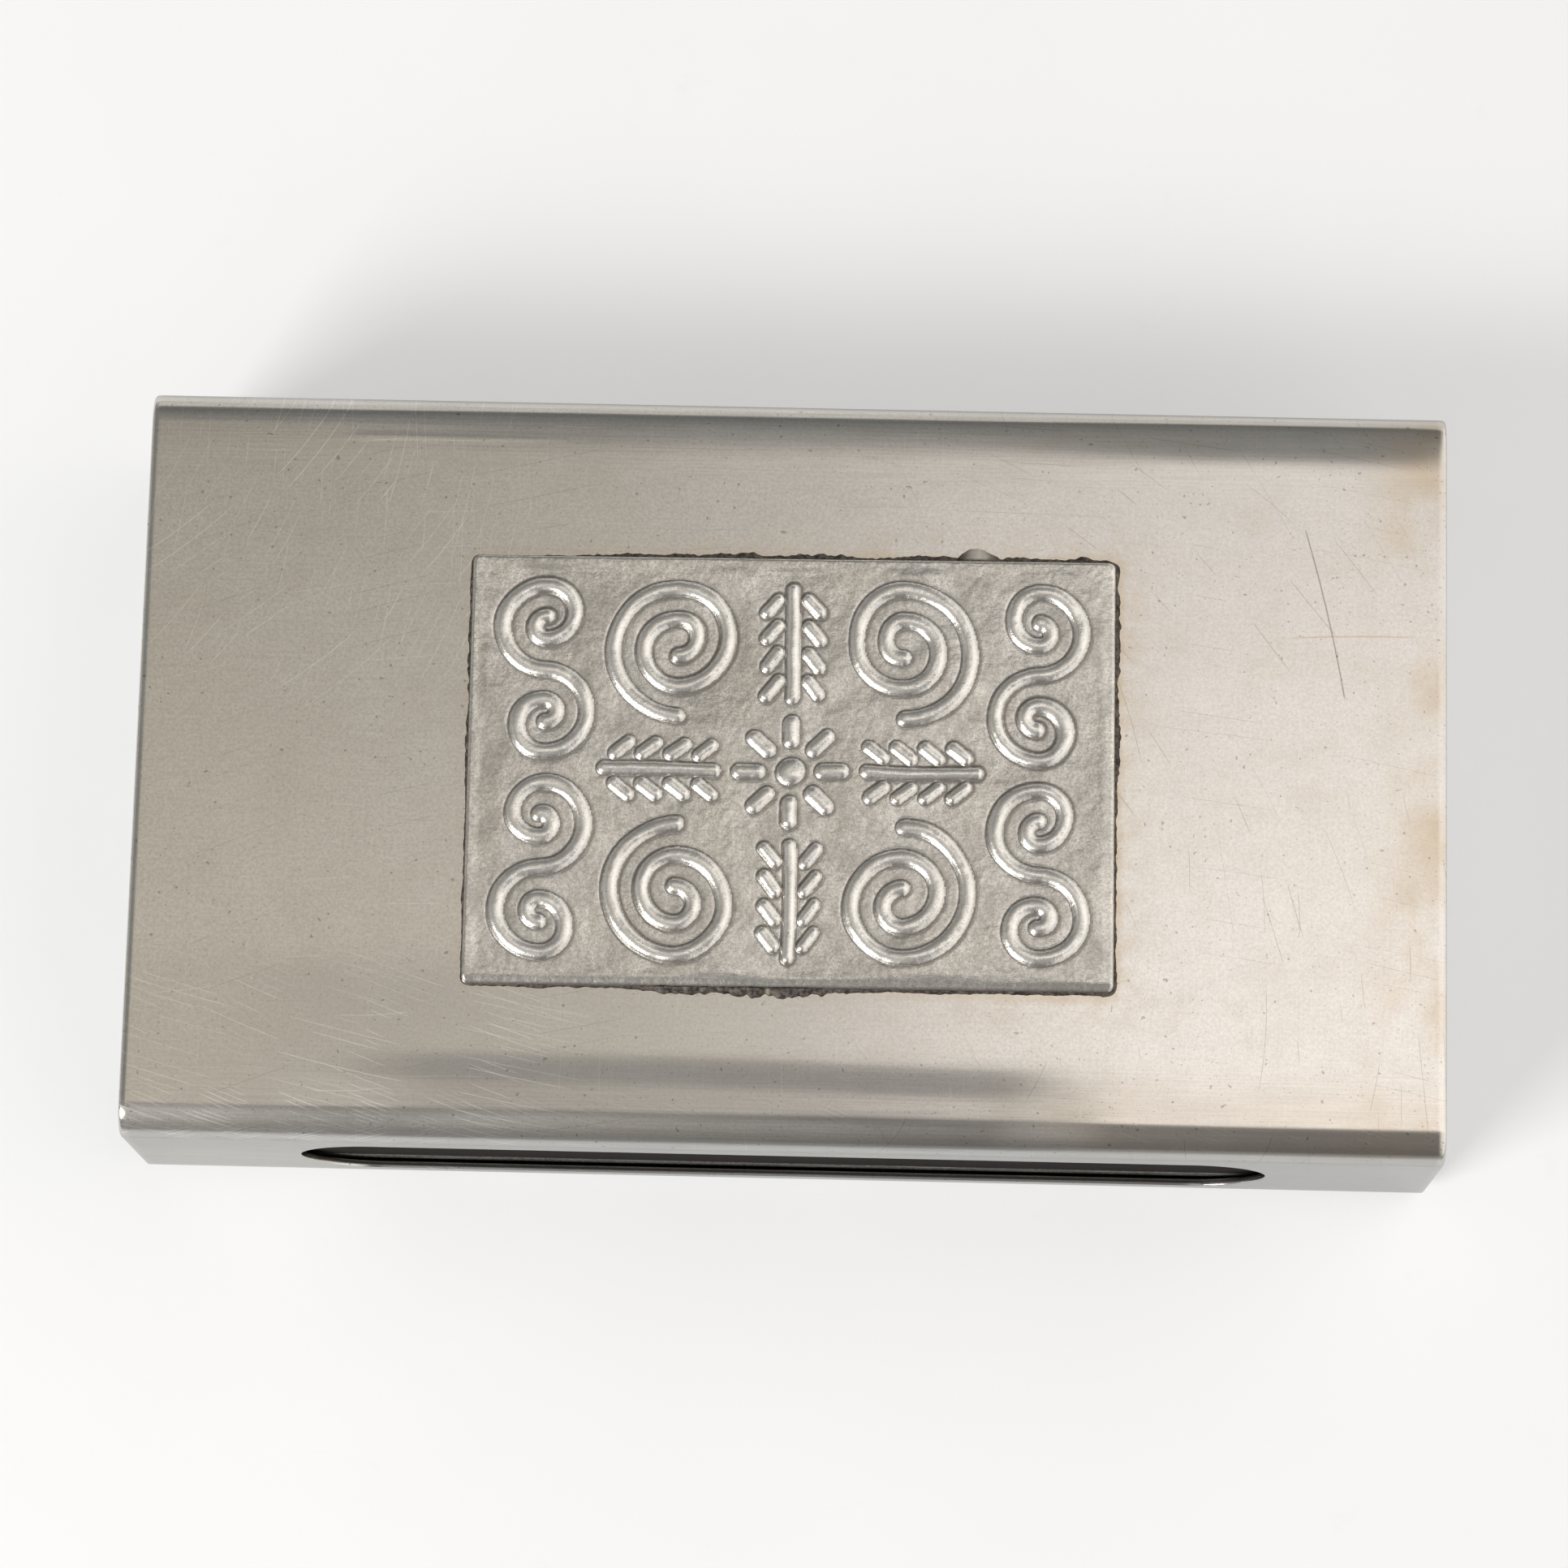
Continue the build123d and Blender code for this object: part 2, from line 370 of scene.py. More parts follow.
def add_slot_lips(points, faces, grid, rows, columns):
    """Joins the sheet's two faces round both slots, with rounded edges."""
    lip = [(SLOT_LIP * (1 - sin(a)), SLOT_LIP * (1 - cos(a))) for a in np.linspace(0, pi / 2, 4)]
    lip += [(out, SHEET - inward) for out, inward in reversed(lip)]
    for j, (_, _, side, _, share) in enumerate(rows):
        if abs(share) != 1:
            continue
        chains = []
        for i, (x, angle) in enumerate(columns):
            if angle is None:
                continue
            centre = max(-SLOT_END, min(SLOT_END, x))
            chain = [grid[0, i, j]]
            for out, inward in lip[1:-1]:
                radius = SLOT_HEIGHT / 2 + out
                y = side * (WIDTH / 2 - inward)
                chain.append(len(points))
                points.append((
                    centre + radius * sin(angle), y, SLOT_CENTRE + share * radius * cos(angle)
                ))
            chains.append(chain + [grid[1, i, j]])
        bridge(faces, chains)


def build_sleeve(material):
    rows, columns = sleeve_rows(), sleeve_columns()
    points, faces = [], []
    grid = np.zeros((2, len(columns), len(rows)), int)
    for layer in range(2):
        for i, (x, angle) in enumerate(columns):
            rise = 0.0 if angle is None else LIP_RADIUS * cos(angle)
            for j, (y, z, ny, nz, share) in enumerate(rows):
                on_lid = z > HEIGHT / 2 and nz > 0
                dip = float(lid_dip(x, y)) * nz if on_lid else 0.0
                depth = dip - layer * SHEET
                grid[layer, i, j] = len(points)
                points.append((x, y + ny * depth, z + share * rise + nz * depth))
    for layer in range(2):
        for i in range(len(columns) - 1):
            for j in range(len(rows) - 1):
                # The opening lies between the slot's two edges
                if abs(rows[j][-1]) == 1 and abs(rows[j + 1][-1]) == 1:
                    continue
                a, b = grid[layer, i:i + 2, j]
                d, c = grid[layer, i:i + 2, j + 1]
                faces.append((a, b, c, d) if layer else (d, c, b, a))
    add_end_rims(points, faces, grid, rows)
    for j in (0, len(rows) - 1):
        bridge(faces, [[grid[0, i, j], grid[1, i, j]] for i in range(len(columns))])
    add_slot_lips(points, faces, grid, rows, columns)
    piece = new_piece("sleeve_sheet", points, faces, material)
    weld(piece)
    piece.modifiers.new("even normals", "WEIGHTED_NORMAL").weight = 80
    return piece


def sleeve_tarnish(g, x, y, stain, mottle, on_top):
    """Brown patches on the right half, a halo by the plaque and a worn right edge."""
    across = g.most(g.size(x - PLAQUE_X) - PLAQUE_LENGTH / 2, 0.0)
    up = g.most(g.size(y - PLAQUE_Y) - PLAQUE_WIDTH / 2, 0.0)
    from_plaque = g.math("SQRT", across * across + up * up)
    halo = g.step(from_plaque, 0.2, 1.1, 0.9, 0.0)
    halo = halo + g.step(from_plaque, 0.5, 4.0, 0.5, 0.0) * g.step(mottle, 0.40, 0.62)
    halo = halo * g.step(x + y * 0.6, -30.0, 30.0, 0.15, 1.0)
    edge = g.step(x, 47.0, 56.0)
    edge_patches = g.noise(g.vector(x * 0.11, y * 0.09, 3.0), detail=4.0)
    edge = edge * g.step(edge_patches, 0.42, 0.66)
    near_right = g.step(x, 12.0, 30.0) * g.step(y, -29.0, -24.0, 0.22, 0.0)
    brown = halo * 0.55 + edge * 0.75 + near_right
    brown = brown + g.step(stain, 0.56, 0.74) * g.step(x, 0.0, 30.0, 0.06, 0.14)
    return g.least(brown, 1.0) * on_top


def sleeve_scratches(g, x, y, z, run):
    """Bowed light scratches at the left and fine dark ones at the right."""

    def family(*shape):
        """Shape is the turn, cell, gap, width, seed, share and bow."""
        return g.scratches(x, run, *shape)

    upper_left = g.fall(x, -30.0, -14.0) * g.step(y, -2.0, 12.0)
    lower_left = g.fall(x, -28.0, -8.0) * g.fall(y, -24.0, -12.0)
    corner = g.step(x, -38.0, -16.0, 1.0, 0.2) * g.fall(y, -29.4, -27.4) * g.step(z, 18.0, 19.6)
    under = g.fall(z, 21.0, 21.5)
    right = g.step(x, -6.0, 24.0, 0.15, 1.0)
    light = family(48, 15.0, 1.4, 0.055, 3.0, 0.6, -0.010) * upper_left
    light = light + family(57, 11.0, 1.0, 0.045, 8.0, 0.55, -0.011) * upper_left
    light = light + family(66, 8.0, 0.9, 0.04, 27.0, 0.45, -0.010) * upper_left * 0.8
    light = light + family(-9, 15.0, 0.8, 0.055, 5.0, 0.7, -0.0012) * lower_left
    light = light + family(-16, 11.0, 0.8, 0.055, 9.0, 0.6, -0.0014) * lower_left
    light = light + family(22, 5.0, 0.36, 0.08, 33.0, 0.85) * corner * under
    light = light + family(-22, 6.0, 0.42, 0.08, 35.0, 0.75) * corner * (1.0 - under)
    middle = family(-17, 8.0, 3.4, 0.05, 12.0, 0.35, 0.004)
    light = light + middle * g.step(x, -20.0, -6.0, 0.7, 0.3)
    light = light + family(88, 7.0, 1.1, 0.035, 30.0, 0.3) * 0.35
    dark = family(-46, 9.0, 2.6, 0.05, 15.0, 0.36, 0.01) * right
    dark = dark + family(68, 11.0, 3.4, 0.05, 18.0, 0.34, -0.012) * right
    dark = dark + family(5, 14.0, 1.5, 0.04, 21.0, 0.32, 0.003) * 0.7
    # One long bowed scratch stands out on the right
    bow = g.size(x - 44.0 - (22.0 - y) * 0.235 + (y - 15.0) * (y - 15.0) * 0.004)
    dark = dark + g.fall(bow, 0.03, 0.10) * g.fall(g.size(y - 14.5), 7.0, 7.6)
    return light, dark


def sleeve_material():
    material, g = new_material("brushed_plated_metal")
    x, y, z = g.place()
    run = y + z * 0.73
    # Brush lines along the sleeve, hair lines across it and an even grain
    brush = g.noise(g.vector(x * 0.10, y * 6.5, z * 6.5), detail=3.0, roughness=0.65)
    hair = g.noise(g.vector(x * 6.0, run * 0.12, 3.0), detail=3.0, roughness=0.65)
    weave = g.noise(g.vector(x * 3.6, y * 3.6, z * 3.6), detail=3.0, roughness=0.75)
    coarse = g.noise(g.vector(x * 0.02, y * 1.3, z * 1.3), detail=2.0)
    cloud = g.noise(g.vector(x * 0.05, y * 0.06, z * 0.06), detail=4.0, roughness=0.6)
    stain = g.noise(g.vector(x * 0.22, y * 0.26, z * 0.26), detail=4.0, roughness=0.65)
    mottle = g.noise(g.vector(x * 0.35, y * 0.5, z * 0.5), detail=3.0, roughness=0.6)
    on_top = g.step(z, HEIGHT - 2.0, HEIGHT - 0.4)
    brushed = g.most(g.step(x, 14.0, 34.0, 0.22, 0.10), g.fall(on_top, 0.0, 1.0))
    brushed = g.most(brushed, g.step(g.size(y), 21.0, 28.5, 0.0, 0.55))
    cross = g.step(x, 10.0, 34.0, 0.0, 0.16)
    grain = brush * brushed + (hair * cross + weave * (1.0 - cross)) * (1.0 - brushed)
    brown = sleeve_tarnish(g, x, y, stain, mottle, on_top)
    light, dark = sleeve_scratches(g, x, y, z, run)
    # A brown rub line near the right edge
    rub = g.size(y - 11.4 - x * 0.025 + (x - 48.0) * (x - 48.0) * 0.004)
    rub_line = g.step(rub, 0.03, 0.11, 0.7, 0.0) * g.fall(g.size(x - 48.0), 3.0, 7.0)
    brown = g.least(brown + rub_line, 1.0)
    pits = g.step(g.noise(g.vector(x * 1.9, y * 1.9, z * 1.9 + 4.0), detail=1.0), 0.725, 0.77)
    specks = g.step(g.noise(g.vector(x * 4.5, y * 4.5, z * 4.5), detail=0.0), 0.76, 0.82)
    light, dark = g.least(light, 1.0), g.least(dark, 1.0)
    # A dark grey for the grain streaks, and for the painted shade on the lid
    dull_grain_and_shade = (0.430, 0.410, 0.375)
    colour = g.mix(g.step(cloud, 0.3, 0.7), (0.700, 0.675, 0.620), (0.735, 0.710, 0.665))
    colour = g.mix(g.step(stain, 0.3, 0.7, 0.0, 0.26), colour, (0.600, 0.570, 0.510))
    grain_share = g.step(x, 10.0, 36.0, 0.42, 0.30)
    colour = g.mix(g.step(grain, 0.36, 0.64, 0.0, grain_share), colour, dull_grain_and_shade)
    colour = g.mix(brown, colour, (0.600, 0.490, 0.350))
    # Painted shade: the lid is darkened beside the near bend, left of the middle, where the
    # crease's shade falls, and right before the bend
    lid_shade = g.step(y, -20.0, -14.0, 0.46, 0.0) * g.step(x, -52.0, -38.0, 0.45, 1.0)
    lid_shade = lid_shade * g.fall(x, -4.0, 26.0)
    lid_shade = lid_shade * g.step(cloud, 0.25, 0.6, 0.7, 1.0)
    bend_shade = g.step(y, -29.5, -28.8, 0.75, 0.0) * g.bump_shape(x, 5.0, 17.0)
    lid_shade = g.most(lid_shade, bend_shade) * g.step(y, -30.6, -29.9)
    colour = g.mix(lid_shade * on_top, colour, dull_grain_and_shade)
    # Painted shade: the sides are coloured a cooler, darker grey than the lid, and a painted
    # reflection keeps them lighter low at the near left
    wall_reflection = g.step(z, 9.0, 17.0, 0.55, 0.0) * g.fall(x, -44.0, -30.0) * g.fall(y, -1.0, 1.0)
    wall_shade = g.step(on_top, 0.0, 1.0, 0.55, 0.0) - wall_reflection
    colour = g.mix(wall_shade, colour, (0.460, 0.465, 0.465))
    # The end rims are rubbed bright
    rubbed = g.step(g.size(x), 55.15, 55.5) * g.step(mottle, 0.3, 0.6, 0.4, 1.0)
    colour = g.mix(rubbed * 0.5, colour, (0.74, 0.72, 0.67))
    colour = g.mix(light * 0.7, colour, (0.96, 0.94, 0.89))
    marks = g.least(dark * 0.6 + pits * 0.5 + specks * 0.35, 1.0)
    colour = g.mix(marks, colour, (0.20, 0.165, 0.125))
    roughness = 0.125 + mottle * 0.05 + brown * 0.06 + light * 0.10 + grain * 0.04
    height = grain * 0.9 + coarse * 0.25
    tint = (0.70, 0.70, 0.70, 1)
    finish_material(g, colour, roughness, height, 0.0013, Metallic=1.0, Specular_Tint=tint)
    return material


sleeve = build_sleeve(sleeve_material())
dress(sleeve, "holder", "sleeve_metal", "sleeve")


# Plaque

# Scrollwork, drawn about the plaque's centre as arcs and straight strokes
STROKE, FINE_STROKE, TURN_GAP = 1.35, 1.15, 1.3
PANEL_MARGIN, SCROLL_GAP, LARGE_SCROLL = 0.9, 0.9, 5.6
BOSS, PETAL_START, PETAL_END, PETALS = 1.2, 2.7, 4.3, 8
SPRIG_START, LEAF_LENGTH, LEAF_OFFSET, LEAF_TURN, LEAF_PAIRS = 6.5, 1.5, 1.25, radians(38), 4
# How far a stroke's foot spreads, and the width of the groove beside it
STROKE_FOOT, GROOVE = 0.05, 0.13
# Distances from the edge of the grid's outer lines and of the next one in, and the spacing inside
EDGE_LINES, INNER_EDGE, GRID_STEP = (0.0, 0.02, 0.06, 0.12, 0.19, 0.27), 0.36, 0.125
# How deep the plaque and the solder go into the sheet
PLAQUE_SINK, SOLDER_SINK = 0.02, 0.03


def even_noise(shape, reach, seed):
    """Smooth random heights with a spread of 1. Reach is the lumps' size in steps of the grid."""
    field = np.random.default_rng(seed).standard_normal(shape)
    waves = np.fft.fftn(field)
    for axis, count in enumerate(shape):
        gain = np.exp(-2 * (pi * reach * np.fft.fftfreq(count)) ** 2)
        waves = waves * (gain[:, None] if axis == 0 and len(shape) == 2 else gain)
    field = np.fft.ifftn(waves).real
    return field / field.std()


def scroll(x, y, radius, start, half_turns):
    step = (STROKE + TURN_GAP) / 2
    arcs = []
    for _ in range(half_turns):
        arcs.append(("arc", x, y, radius, start, STROKE))
        start += pi
        x, y, radius = x + step * cos(start), y + step * sin(start), radius - step
    return arcs


def ornament():
    """The strokes of one quarter, which is mirrored to the others, and those over the whole."""
    edge = STROKE / 2
    half_x = PLAQUE_LENGTH / 2 - PLAQUE_RIM - PANEL_MARGIN
    half_y = PLAQUE_WIDTH / 2 - PLAQUE_RIM - PANEL_MARGIN
    small = (half_y - 3 * edge) / 4
    small_x, small_y = half_x - edge - small, half_y - edge - small
    large_x = small_x - small - 2 * edge - SCROLL_GAP - LARGE_SCROLL
    large_y = half_y - edge - LARGE_SCROLL
    quarter = scroll(large_x, large_y, LARGE_SCROLL, -pi / 2, 4)
    quarter += scroll(small_x, small_y, small, -pi / 2, 3)
    quarter += scroll(small_x, small_y - 2 * small, small, pi / 2, 3)
    lines = []
    long_sprig = large_x + LARGE_SCROLL + edge - SPRIG_START
    short_sprig = half_y - FINE_STROKE / 2 - SPRIG_START
    for turn, length in enumerate((long_sprig, short_sprig) * 2):
        c, s = cos(turn * pi / 2), sin(turn * pi / 2)

        def at(u, v):
            return (u * c - v * s, u * s + v * c)

        lines.append(("line", *at(SPRIG_START, 0), *at(SPRIG_START + length, 0), FINE_STROKE))
        for pair in range(LEAF_PAIRS):
            root = SPRIG_START + length * (pair + 0.6) / LEAF_PAIRS
            for side in (-1, 1):
                foot = at(root, side * LEAF_OFFSET)
                tip_v = side * (LEAF_OFFSET + LEAF_LENGTH * sin(LEAF_TURN))
                tip = at(root - LEAF_LENGTH * cos(LEAF_TURN), tip_v)
                lines.append(("line", *foot, *tip, FINE_STROKE))
    for petal in range(PETALS):
        c, s = cos(2 * pi * petal / PETALS), sin(2 * pi * petal / PETALS)
        start, end = (PETAL_START * c, PETAL_START * s), (PETAL_END * c, PETAL_END * s)
        lines.append(("line", *start, *end, STROKE))
    lines.append(("line", 0, 0, 0.01, 0, 2 * BOSS))
    return quarter, lines


def stroke_distance(stroke, x, y):
    """How far each place is from the middle line of a stroke."""
    if stroke[0] == "line":
        _, x0, y0, x1, y1, _ = stroke
        dx, dy = x1 - x0, y1 - y0
        share = np.clip(((x - x0) * dx + (y - y0) * dy) / (dx * dx + dy * dy), 0, 1)
        return np.hypot(x - x0 - share * dx, y - y0 - share * dy)
    _, cx, cy, radius, start, _ = stroke
    turn = (np.arctan2(y - cy, x - cx) - start) % (2 * pi)
    on_arc = np.abs(np.hypot(x - cx, y - cy) - radius)
    ends = [
        np.hypot(x - cx - radius * cos(a), y - cy - radius * sin(a)) for a in (start, start + pi)
    ]
    return np.where(turn <= pi, on_arc, np.minimum(*ends))


def relief(x, y):
    """Height of the ornament over the ground, and how deep in a groove each place is."""
    quarter, lines = ornament()
    height = np.zeros_like(x)
    groove = np.zeros_like(x)
    for strokes, px, py in ((quarter, np.abs(x), np.abs(y)), (lines, x, y)):
        for stroke in strokes:
            half = stroke[-1] / 2
            distance = stroke_distance(stroke, px, py)
            dome = np.clip(1 - (distance / (half + STROKE_FOOT)) ** 2.2, 0, 1) ** 0.85
            height = np.maximum(height, dome)
            foot = np.exp(-((distance - half - STROKE_FOOT) / GROOVE) ** 2)
            groove = np.maximum(groove, foot)
    return height, groove * (height < 0.3)


def plaque_stations(half):
    """Places across the plaque, close together at its rounded rim."""
    inner = half - INNER_EDGE
    count = ceil(2 * inner / GRID_STEP)
    low = [-half + e for e in EDGE_LINES]
    high = [half - e for e in EDGE_LINES[::-1]]
    return np.array(low + list(np.linspace(-inner, inner, count + 1)) + high)


def plaque_grid():
    """A grid over the plaque, drawn in to round corners, and how far in each place lies."""
    half_x, half_y, corner = PLAQUE_LENGTH / 2, PLAQUE_WIDTH / 2, PLAQUE_CORNER
    x, y = np.meshgrid(plaque_stations(half_x), plaque_stations(half_y), indexing="ij")
    a, b = (np.abs(x) - half_x + corner) / corner, (np.abs(y) - half_y + corner) / corner
    inside = (a > 0) & (b > 0)
    scale = np.where(inside, np.maximum(a, b) / np.maximum(np.hypot(a, b), 1e-9), 1)
    x = np.where(inside, np.sign(x) * (half_x - corner + a * scale * corner), x)
    y = np.where(inside, np.sign(y) * (half_y - corner + b * scale * corner), y)
    a, b = np.abs(x) - half_x + corner, np.abs(y) - half_y + corner
    from_edge = corner - np.where((a > 0) & (b > 0), np.hypot(a, b), np.maximum(a, b))
    return x, y, from_edge


def plaque_surface(x, y, from_edge):
    """The plaque's heights over the lid, how dark its hollows are, with painted shade on the near
    bevel, and where its high points are rubbed, which are also lightened as a painted highlight.
    """
    half_x, half_y, shape = PLAQUE_LENGTH / 2, PLAQUE_WIDTH / 2, x.shape
    # The strokes were drawn by hand and waver a little
    waver_x, waver_y = (0.07 * even_noise(shape, 14.0, seed) for seed in (17, 18))
    height, groove = relief(x + waver_x, y + waver_y)
    hammer = even_noise(shape, 22.0, 11)
    blows = even_noise(shape, 10.0, 14)
    dents = even_noise(shape, 4.2, 12)
    grain = even_noise(shape, 1.3, 13)
    ground = PLAQUE_GROUND + 0.12 + 0.042 * hammer + 0.016 * blows + 0.0095 * dents
    ground = ground - 0.05 * groove
    surface = ground + height * (0.31 + 0.02 * even_noise(shape, 6.0, 15) - 0.03 * hammer)
    # The margin has no rim: it dishes at the left and falls off at the right and the near side
    margin = smooth_step(1.5 - from_edge, 0.0, 0.9)
    level = PLAQUE_GROUND + 0.13 + 0.05 * ramp(1.1 - x - half_x, 0.3)
    level = level - 0.06 * ramp(1.3 + x - half_x, 0.3)
    level = level - 0.06 * ramp(1.4 - y - half_y, 0.3) + 0.010 * hammer + 0.004 * dents
    bevel = 0.68 + 0.05 * even_noise(shape, 20.0, 19) - y - half_y
    level = level - 0.32 * ramp(bevel, 0.08)
    surface = surface * (1 - margin) + level * margin + 0.0050 * grain
    fall = np.clip(1 - from_edge / PLAQUE_EDGE, 0, 1)
    surface -= PLAQUE_EDGE * (1 - np.sqrt(np.clip(1 - fall ** 2, 0, 1)))
    surface = np.minimum(surface, PLAQUE_TOP - 0.002)
    hollows = 0.3 * smooth_step(-hammer, 0.4, 2.0) * (height < 0.2)
    grime_and_shade = np.clip(groove * 0.95 + hollows, 0, 1)
    # Painted shade: the near bevel is darkened along with the hollows
    grime_and_shade = np.maximum(grime_and_shade, 0.45 * smooth_step(bevel, 0.0, 0.25))
    return surface, grime_and_shade, smooth_step(height, 0.5, 0.95)


def place_on_lid(points):
    """Turns points drawn about the plaque's centre and moves them to its place on the lid."""
    c, s = cos(PLAQUE_TURN), sin(PLAQUE_TURN)
    turn = np.array([[c, -s], [s, c]])
    points[:, :2] = points[:, :2] @ turn.T + (PLAQUE_X, PLAQUE_Y)
    points[:, 2] += HEIGHT


def build_plaque(material):
    x, y, from_edge = plaque_grid()
    surface, grime_and_shade, worn = plaque_surface(x, y, from_edge)
    points = np.stack([x, y, surface], -1).reshape(-1, 3)
    index = np.arange(x.size).reshape(x.shape)
    corners = [index[:-1, :-1], index[1:, :-1], index[1:, 1:], index[:-1, 1:]]
    faces = np.stack(corners, -1).reshape(-1, 4).tolist()
    # A straight side goes down to the sheet, and the underside is flat
    loop = list(index[:, 0]) + list(index[-1, 1:])
    loop += list(index[-2::-1, -1]) + list(index[0, -2:0:-1])
    start, count = len(points), len(loop)
    foot = points[loop].copy()
    foot[:, 2] = -PLAQUE_SINK
    points = np.vstack([points, foot])
    for k in range(count):
        n = (k + 1) % count
        faces.append((loop[n], loop[k], start + k, start + n))
    faces.append(tuple(range(start + count - 1, start - 1, -1)))
    place_on_lid(points)
    piece = new_piece("embossed_plaque", points, faces, material)
    for name, values, foot_value in (("grime_and_shade", grime_and_shade, 1.0), ("worn", worn, 0.0)):
        values = np.concatenate([values.reshape(-1), np.full(count, foot_value)])
        layer = piece.data.attributes.new(name, "FLOAT", "POINT")
        layer.data.foreach_set("value", values.astype(np.float32))
    return piece


def plaque_material():
    material, g = new_material("embossed_metal")
    x, y, z = g.place()
    grime_and_shade, worn = (
        g.out(g.add("Attribute", attribute_name=name), "Fac") for name in ("grime_and_shade", "worn")
    )
    mottle = g.noise(g.vector(x * 0.30, y * 0.30, z), detail=4.0, roughness=0.65)
    grain = g.noise(g.vector(x * 4.2, y * 4.2, z * 4.2), detail=3.0, roughness=0.7)
    hatch = g.noise(g.vector(x * 0.9, y * 8.0, z * 4.0), detail=2.0)
    warm = g.noise(g.vector(x * 0.12, y * 0.12, 2.0), detail=2.0)
    spots = g.step(g.noise(g.vector(x * 2.2, y * 2.2, 9.0), detail=1.0), 0.72, 0.78)
    colour = g.mix(g.step(warm, 0.35, 0.65), (0.760, 0.740, 0.690), (0.780, 0.745, 0.675))
    colour = g.mix(g.step(mottle, 0.35, 0.7, 0.0, 0.55), colour, (0.48, 0.465, 0.425))
    texture = grain * 0.8 + hatch * 0.2
    colour = g.mix(g.step(texture, 0.38, 0.62, 0.0, 0.55), colour, (0.42, 0.40, 0.36))
    # The high points are rubbed bright, partly a painted highlight, and the feet of the strokes
    # are dirty; the near bevel is darkened as painted shade
    rubbed_tops_and_highlight = worn * g.step(texture, 0.30, 0.55, 0.35, 0.75)
    colour = g.mix(rubbed_tops_and_highlight, colour, (0.96, 0.935, 0.875))
    dirt_and_shade = g.step(grime_and_shade * (0.55 + grain * 0.9), 0.22, 0.80)
    colour = g.mix(dirt_and_shade * 0.72, colour, (0.13, 0.11, 0.09))
    colour = g.mix(spots * 0.4, colour, (0.24, 0.20, 0.17))
    roughness = 0.20 + mottle * 0.10 + dirt_and_shade * 0.2
    tint = (0.75, 0.75, 0.75, 1)
    finish_material(g, colour, roughness, texture, 0.026, Metallic=1.0, Specular_Tint=tint)
    return material


plaque = build_plaque(plaque_material())
dress(plaque, "holder", "plaque_metal", "plaque")


# Solder line round the plaque

SOLDER_STEP = 0.14
# A section's corners: shares of its width and height, or millimetres where under zero
SECTION = (
    (-0.06, -SOLDER_SINK), (1.0, -SOLDER_SINK), (0.96, 0.12), (0.72, 0.42), (0.38, 0.72),
    (0.05, 1.0), (-0.06, 1.0),
)
# The drop that ran out on the far side: its place and half width
DROP_X, DROP_REACH = 15.8, 1.8


def solder_width(x, y, nx, ny):
    """How far the solder spreads from the plaque's foot, side by side as in the photograph."""
    if ny > 0.5:
        return 0.14 + 0.22 * smooth_step(x, -22, -12)
    if ny < -0.5:
        return 0.20 + 0.36 * smooth_step(x, -12.5, -10) * (1 - smooth_step(x, 4, 7))
    if nx > 0:
        return 0.24 + 0.10 * smooth_step(y, -4, 4)
    return 0.16 + 0.10 * smooth_step(y, -3, 1) * (1 - smooth_step(y, 12, 14))


def solder_stations():
    """Places round the plaque's foot, each with its outward direction."""
    half_x, half_y, corner = PLAQUE_LENGTH / 2, PLAQUE_WIDTH / 2, PLAQUE_CORNER
    stations = []
    runs = [(1, 0, half_x, half_y), (0, 1, half_y, half_x)]
    runs += [(-1, 0, half_x, half_y), (0, -1, half_y, half_x)]
    for nx, ny, out, along in runs:
        tx, ty = -ny, nx
        for place in np.arange(-along + corner, along - corner + 0.01, SOLDER_STEP):
            stations.append((nx * out + tx * place, ny * out + ty * place, nx, ny))
        centre_x, centre_y = (nx + tx) * (half_x - corner), (ny + ty) * (half_y - corner)
        for share in (0.2, 0.4, 0.6, 0.8):
            angle = atan2(ny, nx) + share * pi / 2
            c, s = cos(angle), sin(angle)
            stations.append((centre_x + corner * c, centre_y + corner * s, c, s))
    return stations


def build_solder(material):
    stations = solder_stations()
    count, size = len(stations), len(SECTION)
    rough = even_noise((count,), 9.0, 31) * 0.20 + even_noise((count,), 3.0, 32) * 0.16
    rough = rough + even_noise((count,), 1.0, 33) * 0.14
    widths = np.array([solder_width(*station) for station in stations])
    blurred = sum(np.roll(widths, k) for k in range(-6, 7)) / 13
    widths = np.maximum(blurred * (1 + rough), 0.05)
    heights = 0.10 + 0.45 * np.minimum(widths, 0.6) + 0.03 * even_noise((count,), 2.0, 34)
    heights = np.clip(heights, 0.06, 0.5)
    points, faces = [], []
    for (x, y, nx, ny), width, height in zip(stations, widths, heights):
        drop = max(0.0, 1 - ((x - DROP_X) / DROP_REACH) ** 2) ** 0.8 if ny > 0.5 else 0.0
        width, height = width + 0.60 * drop, height + 0.10 * drop
        for out, up in SECTION:
            reach = out * width if out > 0 else out
            level = up * height if up > 0 else up
            points.append((x + nx * reach, y + ny * reach, level))
    for k in range(count):
        here, there = k * size, (k + 1) % count * size
        for m in range(size):
            q = (m + 1) % size
            faces.append((here + m, there + m, there + q, here + q))
    points = np.array(points)
    place_on_lid(points)
    piece = new_piece("solder_line", points, faces, material)
    weld(piece)
    return piece


